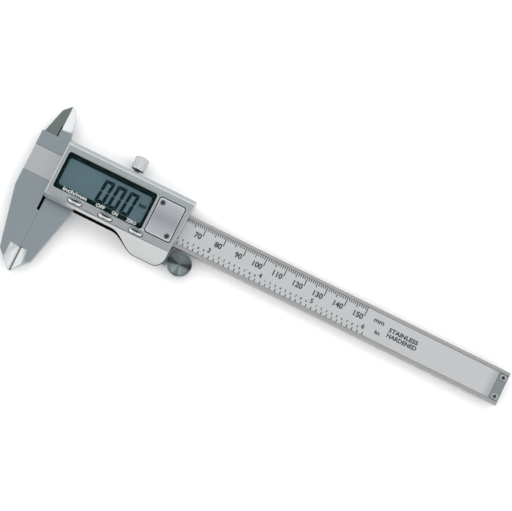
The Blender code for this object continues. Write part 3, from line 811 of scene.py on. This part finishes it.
def housing_widths(edge):
    """How far each of the housing's edges is rounded."""
    at = edge_middle(edge)
    front = span("housing")[1].z
    if edge.calc_face_angle(0) < SOFT_FOLD:
        return CREASE_WIDTH if abs(at.y - CREASE_Y) < 0.2 and at.z > CREASE_LOW_Z else 0
    if at.z < FRONT_INNER_Z:
        left_corner = abs(at.y) > SIDE_Y and at.x < 0
        return END_WIDTH if left_corner else SMALL_WIDTH
    if abs(at.z - front) > 0.05 and near_box(at, WINDOW_X[0], DOOR_X[1], DOOR_HALF):
        return SMALL_WIDTH
    if near_box(at, *WINDOW_X, WINDOW_HALF):
        return RIM_WIDTH
    if near_button(at) and at.y < CREASE_Y + 0.5:
        return CREASE_WIDTH
    if near_box(at, *DOOR_X, DOOR_HALF) or near_button(at):
        return HOLE_WIDTH
    return END_WIDTH if at.x < 0 else RIGHT_END_WIDTH


def side_wall(at, normal):
    return at.y < CREASE_Y - 0.1 and normal.y < -0.3 and upright(normal, 0.5)


def thumb_slope(at, normal):
    return at.y < CREASE_Y and normal.y < -0.6 and normal.z > 0.4


def shaded_hole(at, normal):
    """The walls of the openings in the housing's front, and the seat under the battery door: faces painted
    black as shade.
    """
    if near_box(at, *DOOR_X, DOOR_HALF) and at.z > OPENING_LOW_Z:
        return upright(normal) or at.z < ABOVE_SEAT_Z
    if near_box(at, *WINDOW_X, WINDOW_HALF) and at.z > OPENING_LOW_Z:
        return upright(normal, 0.2)
    return at.z > BUTTON_HOLE_LOW_Z and upright(normal) and near_button(at)


def make_housing():
    piece = refined("housing", SATIN_CHROME, "slider", END_WIDTH, 3, housing_widths, angle=8)
    # The lower side wall is painted black below a line, as shade.
    dressed(piece, SIDE_WALL_PAINTED_SHADE, side_wall)
    # The openings' walls and the door's seat are painted black as shade.
    dressed(piece, PAINTED_SHADE_BLACK, shaded_hole)
    # The thumb slope is painted lighter, as light.
    dressed(piece, SLOPE_PAINTED_LIGHT, thumb_slope)


# Half the cap's length and width, the share of the CAD's cap that is kept, and the dish in its top as
# shares of the half sizes with the height from the top.
CAP_HALF, CAP_SCALE = (3.3, 1.22), (0.965, 0.93, 1.0)
DISH = (
    (0, -0.62), (0.2, -0.59), (0.4, -0.49), (0.6, -0.33),
    (0.75, -0.16), (0.86, 0.0), (0.92, 0.12), (0, 0.12),
)
# The depths below the top between which the dish's upper side is painted in shade.
SHADE_DEPTH = (0.65, 0.02)


def make_button(name):
    """An oval cap with a dished top, with painted shade on the dish's upper side and painted black as shade
    below the housing's front.
    """
    centre, top = middle(name), span(name)[1].z

    def place(a, b, height):
        return (centre.x + a * CAP_HALF[0], centre.y + b * CAP_HALF[1], top + height)

    mesh = carved(about(cad_mesh(name), centre, CAP_SCALE), lathe(DISH, 64, place))
    mesh = smooth(bevelled(mesh, 0.1, 2, angle=50), 40)
    piece = weighted(add(name + "_finished", mesh, CAP_STEEL, name, [name]))
    # Below the housing's front the cap is painted black as shade in the gap round it.
    dressed(piece, PAINTED_SHADE_BLACK, lambda at, normal: at.z < FRONT_INNER_Z + 0.3)

    def upper_crescent(at, normal):
        in_dish = top - SHADE_DEPTH[0] < at.z < top - SHADE_DEPTH[1] and at.y > centre.y
        return in_dish and normal.y < -0.25 and normal.z > 0.3

    dressed(piece, CAP_PAINTED_SHADE, upper_crescent)


COVER_SCALE, COVER_RIM_Z, COVER_REACH = (0.985, 0.989, 1.0), 14.9, (5.4, 8.0)
COVER_WIDTH, COVER_SMALL_WIDTH = 0.42, 0.08


def make_battery_cover():
    centre = middle("battery_cover")

    def widths(edge):
        at = edge_middle(edge)
        outer = abs(at.x - centre.x) > COVER_REACH[0] or abs(at.y) > COVER_REACH[1]
        return COVER_WIDTH if outer and at.z > COVER_RIM_Z else COVER_SMALL_WIDTH

    mesh = about(cad_mesh("battery_cover"), centre, COVER_SCALE)
    mesh = smooth(bevelled(mesh, COVER_WIDTH, 3, widths=widths))
    name = "battery_cover"
    weighted(add(name + "_finished", mesh, DOOR_CHROME_PAINTED_SHEEN, name, [name]))
    for number in (1, 2):
        turned_screw(f"battery_cover_screw_{number}", DARK_SCREW, (1.12, 0.5, 0.4))


# Display

LCD_X, LCD_HALF, LCD_CORNER = (2.75, 43.2), 6.5, 1.3
MASK_X, MASK_HALF, MASK_CORNER, MASK_Z = (0.7, 45.1), 9.1, 1.0, (13.26, 13.46)
DIGITS_X, DIGIT_SIZE, DIGIT_FOOT, STROKE, SLANT = (20.2, 26.25, 32.3), (4.7, 11.0), -6.2, 1.45, 0.085
SEGMENT_THICK, SEGMENT_GAP = 0.045, 0.1
POINT_X, POINT_HALF, POINT_CORNER, POINT_Y = (25.55, 26.6), 0.5, 0.2, -5.6

# The labels under the window, with their left end, height and width.
LABELS = (
    ("inch/mm", 5.6, 1.75, 11.6),
    ("OFF", 22.0, 1.45, 4.1),
    ("ON", 29.8, 1.45, 2.8),
    ("ZERO", 36.9, 1.45, 4.8),
)
LABEL_FOOT, LABEL_THICK, LABEL_BOLD = -8.05, 0.015, 0.05


def rounded_outline(x_range, half_y, radius, steps=8):
    points = []
    corners = (
        (x_range[1] - radius, half_y - radius, 0),
        (x_range[0] + radius, half_y - radius, 90),
        (x_range[0] + radius, -half_y + radius, 180),
        (x_range[1] - radius, -half_y + radius, 270),
    )
    for x, y, start in corners:
        for step in range(steps + 1):
            angle = math.radians(start + 90 * step / steps)
            points.append((x + radius * math.cos(angle), y + radius * math.sin(angle)))
    return points


def zero_digit(left, low):
    """The six lit strokes of a seven-stroke nought, leaning to the right."""
    wide, tall = DIGIT_SIZE
    gap, half = SEGMENT_GAP, tall / 2
    cap = [
        (gap, tall),
        (wide - gap, tall),
        (wide - gap - STROKE, tall - STROKE),
        (gap + STROKE, tall - STROKE),
    ]
    side = [
        (0, tall - gap),
        (STROKE, tall - gap - STROKE),
        (STROKE, half + gap + STROKE * 0.25),
        (STROKE * 0.5, half + gap),
        (0, half + gap + STROKE * 0.2),
    ]
    other_side = [(wide - across, up) for across, up in side]
    strokes = []
    for outline in (cap, side, other_side):
        for points in (outline, [(across, tall - up) for across, up in outline]):
            leaning = [(left + across + SLANT * up, DIGIT_FOOT + up) for across, up in points]
            strokes.append(prism(leaning, low, low + SEGMENT_THICK))
    return strokes


def make_display():
    """The window, the liquid crystal panel with its reading, and the printed border with its labels."""
    refined("window_lens", LENS, "slider", width=0.1)
    refined("lcd_glass", LCD_PANEL, "slider", width=0.1)
    low = span("lcd_glass")[1].z
    strokes = [mesh for left in DIGITS_X for mesh in zero_digit(left, low)]
    point = [(x, y + POINT_Y) for x, y in rounded_outline(POINT_X, POINT_HALF, POINT_CORNER, 3)]
    strokes.append(prism(point, low, low + SEGMENT_THICK))
    strokes.append(text_mesh("mm", (38.9, 0.35, low), 1.9, depth=SEGMENT_THICK, bold=0.12, width=3.4))
    add("lcd_digits", joined(strokes), LCD_DARK, "slider")
    border = carved(
        prism(rounded_outline(MASK_X, MASK_HALF, MASK_CORNER), *MASK_Z),
        prism(rounded_outline(LCD_X, LCD_HALF, LCD_CORNER), MASK_Z[0] - 1, MASK_Z[1] + 1),
    )
    add("window_border", border, BORDER, "slider")
    face = MASK_Z[1]
    words = [
        text_mesh(text, (left, LABEL_FOOT, face), height, depth=LABEL_THICK, bold=LABEL_BOLD, width=width)
        for text, left, height, width in LABELS
    ]
    add("window_labels", joined(words), LABEL, "slider")


# Turned pieces

KNURL_TEETH, KNURL_PITCH, KNURL_DEPTH = 12, 2.0, 0.2
KNURL_START, KNURL_STEP, KNURL_RINGS = 0.9, 0.16, 29
HEAD_FOOT_Y, HEAD_SLACK, STEM_RADIUS, STEM_CHAMFER = 15.5, 0.02, 1.1, 0.3

# The screw head's rounded ends: how far in from its radius, and how far from its foot or its top.
HEAD_UNDER = ((0.9, 0), (0.35, 0.2), (0.08, 0.5))
HEAD_OVER = ((0.1, 0.75), (0.4, 0.35), (0.9, 0.1), (1.4, 0))


def make_lock_screw():
    """The lock screw's knurled head on its stem."""
    low, high = span("lock_screw")
    centre = middle("lock_screw")
    radius = (high.x - low.x) / 2 - HEAD_SLACK
    profile = [(0, low.y), (STEM_RADIUS - STEM_CHAMFER, low.y), (STEM_RADIUS, low.y + STEM_CHAMFER)]
    profile.append((STEM_RADIUS, HEAD_FOOT_Y))
    profile += [(radius - inwards, HEAD_FOOT_Y + up) for inwards, up in HEAD_UNDER]
    knurled = range(len(profile), len(profile) + KNURL_RINGS)
    profile += [(radius, HEAD_FOOT_Y + KNURL_START + KNURL_STEP * step) for step in range(KNURL_RINGS)]
    profile += [(radius - inwards, high.y - drop) for inwards, drop in HEAD_OVER]
    profile.append((0, high.y))

    def wave(angle, index):
        if index not in knurled:
            return 0
        phase = 2 * math.pi * profile[index][1] / KNURL_PITCH
        return KNURL_DEPTH * (1 - math.cos(angle * KNURL_TEETH) * math.cos(phase))

    def place(a, b, height):
        return (centre.x + a, height, centre.z + b)

    mesh = smooth(lathe(profile, 160, place, wave), 50)
    piece = add("lock_screw_finished", mesh, BRIGHT_STEEL, "lock_screw", ["lock_screw"])
    # The stem and the head's underside take the dark screw steel as painted shade under the head.
    dressed(piece, DARK_SCREW, lambda at, normal: at.y < HEAD_FOOT_Y + 0.3)


# The roller's dished face in shares of its radius, with the depth below the top, and its rim and bore.
ROLLER_DISH = ((0, 1.0), (0.25, 0.78), (0.5, 0.52), (0.75, 0.26), (1, 0))
ROLLER_RIM, RIM_TEETH, TOOTH_DEPTH = 0.5, 60, 0.07
BORE_RADIUS, BORE_DEPTH, BORE_END = 1.5, 4.0, 4.3


def make_roller():
    """The thumb roller: a toothed rim, a dished face and a blind bore for its axle."""
    low, high = span("thumb_roller")
    centre = middle("thumb_roller")
    radius = (high.x - low.x) / 2
    face = radius - ROLLER_RIM
    profile = [(face * share, high.z - depth) for share, depth in ROLLER_DISH]
    profile += [(face + 0.12, high.z - 0.02), (radius - 0.12, high.z - 0.35)]
    toothed = (len(profile), len(profile) + 1)
    profile += [(radius - 0.02, high.z - 0.6), (radius - 0.02, low.z + 0.5), (radius - 0.4, low.z)]
    profile += [(BORE_RADIUS, low.z), (BORE_RADIUS, low.z + BORE_DEPTH), (0, low.z + BORE_END)]

    def wave(angle, index):
        return TOOTH_DEPTH * (1 + math.cos(angle * RIM_TEETH)) if index in toothed else 0

    def place(a, b, height):
        return (centre.x + a, centre.y + b, height)

    mesh = smooth(lathe(profile, 240, place, wave), 30)
    piece = add("thumb_roller_finished", mesh, CAP_STEEL, "thumb_roller", ["thumb_roller"])
    dish_foot = high.z - ROLLER_DISH[0][1] - 0.01
    # The dish takes the painted sheen.
    dressed(piece, ROLLER_PAINTED_SHEEN, lambda at, normal: normal.z > 0.8 and at.z > dish_foot)


# Slider

MOVING_FACE_TOP, MOVING_FACE_REACH = -19, 0.15
BLADE_FOOT_Y, BLADE_RIGHT_X = 13.3, -2


def make_slider_frame():
    """The slider's steel. Its measuring face is moved up to the fixed jaw's, all but a fine gap."""
    steel = cad_mesh("slider_frame")
    for vertex in steel.vertices:
        if vertex.co.y < MOVING_FACE_TOP * MM and 0 < vertex.co.x < MOVING_FACE_REACH * MM:
            vertex.co.x = CLOSED_GAP * MM
    steel = bevelled(steel, EDGE_WIDTH, 2, widths=jaw_widths)
    steel = smooth(with_web(steel, NOTCH_SHADE_WEB))
    slider = add("slider_frame_finished", steel, JAW_STEEL, "slider", ["slider_frame"])
    weighted(slider)
    # The rear blade is painted darker as shade.
    dressed(slider, REAR_BLADE_PAINTED_SHADE, lambda at, normal: at.y > BLADE_FOOT_Y and at.x < BLADE_RIGHT_X)
    # The moving knife takes painted shade by the seam and a painted highlight beyond it.
    dressed(slider, MOVING_KNIFE_PAINTED_LIGHT, lower_knife_face)
    # The notch's walls and web are painted black as shade.
    dressed(slider, PAINTED_SHADE_BLACK, opening_faces(NOTCH_WALLS))


def make_slider():
    make_slider_frame()
    make_housing()
    make_battery_cover()
    make_display()
    for name in BUTTONS:
        make_button(name)
    make_lock_screw()
    make_roller()
    refined("rear_cover", SATIN_CHROME, "slider", width=0.2)
    refined("depth_rod", BRIGHT_STEEL, "slider")
    for number in (1, 2, 3, 4):
        turned_screw(f"rear_cover_screw_{number}", DARK_SCREW, (1.6, 0.6, 0.4), head_up=False)
    turned_screw("depth_rod_screw", BRIGHT_STEEL, (1.4, 0.5, 0.3), head_up=False)


INNER_LOOKS = {
    BRIGHT_STEEL: ("battery", "roller_axle", "gib_screw_1", "gib_screw_2"),
    BRASS: (
        "battery_contact_minus", "battery_contact_plus", "gib_strip", "lock_pad",
        "unit_switch_dome", "power_switch_dome", "zero_switch_dome",
    ),
    BOARD: ("circuit_board",),
    CHIP: ("controller_chip",),
    ZEBRA: ("zebra_strip_bottom", "zebra_strip_top"),
}


def dress_inner_nodes():
    """CAD nodes that are shown as they are, in finished materials."""
    for look, nodes in INNER_LOOKS.items():
        for node in nodes:
            for slot in frame["nodes"][node].material_slots:
                slot.material = look


make_beam()
make_scale()
make_slider()
dress_inner_nodes()


# Camera, light and floor

CAMERA_TARGET = (95.3, 4.75, 6.4)
CAMERA_TILT, CAMERA_ROLL = math.radians(7.8), math.radians(26.27)
CAMERA_DISTANCE, FIELD_WIDTH, SENSOR = 1200.0, 227.7, 36.0


def make_camera():
    """A long lens, tilted towards the lower edge and rolled about its view."""
    data = bpy.data.cameras.new("camera")
    data.sensor_width = SENSOR
    data.lens = SENSOR * CAMERA_DISTANCE / FIELD_WIDTH
    data.clip_end = 20
    camera = bpy.data.objects.new("camera", data)
    bpy.context.scene.collection.objects.link(camera)
    back = Vector((0, -math.sin(CAMERA_TILT), math.cos(CAMERA_TILT)))
    level = Vector((0, math.cos(CAMERA_TILT), math.sin(CAMERA_TILT)))
    right = Vector((1, 0, 0)) * math.cos(CAMERA_ROLL) + level * math.sin(CAMERA_ROLL)
    up = Vector((-1, 0, 0)) * math.sin(CAMERA_ROLL) + level * math.cos(CAMERA_ROLL)
    place = DATUM + (Vector(CAMERA_TARGET) + back * CAMERA_DISTANCE) * MM
    turn = Matrix((right, up, back)).transposed().to_4x4()
    camera.matrix_world = Matrix.Translation(place) @ turn
    bpy.context.scene.camera = camera


# Light levels of the tent: by how far a direction leans along x, by where it lies along y, and the share
# of the second as it leans away from straight up or down along y.
OVERHEAD_STRIP = ((0, 0.40), (0.12, 0.40), (0.22, 0.16), (0.32, 0.18), (0.44, 0.85), (1, 0.7))
SOFTBOXES = (
    (0, 0.4), (0.2, 0.5), (0.31, 1.05), (0.43, 0.4), (0.6, 0.4), (0.71, 1.0), (0.84, 0.7), (1, 0.5),
)
SOFTBOX_SHARE = ((0.2, 0.0), (0.45, 1.0))
LIGHT_STRENGTH = 2.1


def make_world():
    """A soft tent: a strip overhead along y, darker beside it, and softboxes towards either end of y."""
    world = bpy.data.worlds.new("studio")
    bpy.context.scene.world = world
    world.use_nodes = True
    tree = world.node_tree
    direction = split_place(tree, "Generated")
    across = math_node(tree, "ABSOLUTE", direction["X"])
    along = math_node(tree, "MULTIPLY_ADD", direction["Y"], 0.5, 0.5)
    away = math_node(tree, "ABSOLUTE", direction["Y"])
    by_x = ramp(tree, across, OVERHEAD_STRIP, interpolation="EASE")
    by_y = ramp(tree, along, SOFTBOXES, interpolation="EASE")
    share = ramp(tree, away, SOFTBOX_SHARE, interpolation="EASE")
    background = tree.nodes["Background"]
    tree.links.new(mixed(tree, share, by_x, by_y), background.inputs["Color"])
    background.inputs["Strength"].default_value = LIGHT_STRENGTH


FLOOR_HALF_M, FLOOR_DROP = 4, 0.05
FLOOR_COLOURS = (0.90, 0.90, 0.905), (0.92, 0.92, 0.925)


def make_floor():
    shape = bmesh.new()
    bmesh.ops.create_grid(shape, x_segments=1, y_segments=1, size=FLOOR_HALF_M)
    mesh = mesh_from(shape, "floor")
    made, tree, shader = new_material("pale_floor")
    shade = mixed(tree, noise(tree, (0.01, 0.01, 0.01)), *FLOOR_COLOURS)
    tree.links.new(shade, shader.inputs["Base Color"])
    shader.inputs["Roughness"].default_value = 0.9
    mesh.materials.append(made)
    floor = bpy.data.objects.new("floor", mesh)
    floor.location.z = cad_box[0].z - FLOOR_DROP * MM
    bpy.context.scene.collection.objects.link(floor)


make_camera()
make_world()
make_floor()
bpy.context.scene.view_settings.view_transform = "Standard"
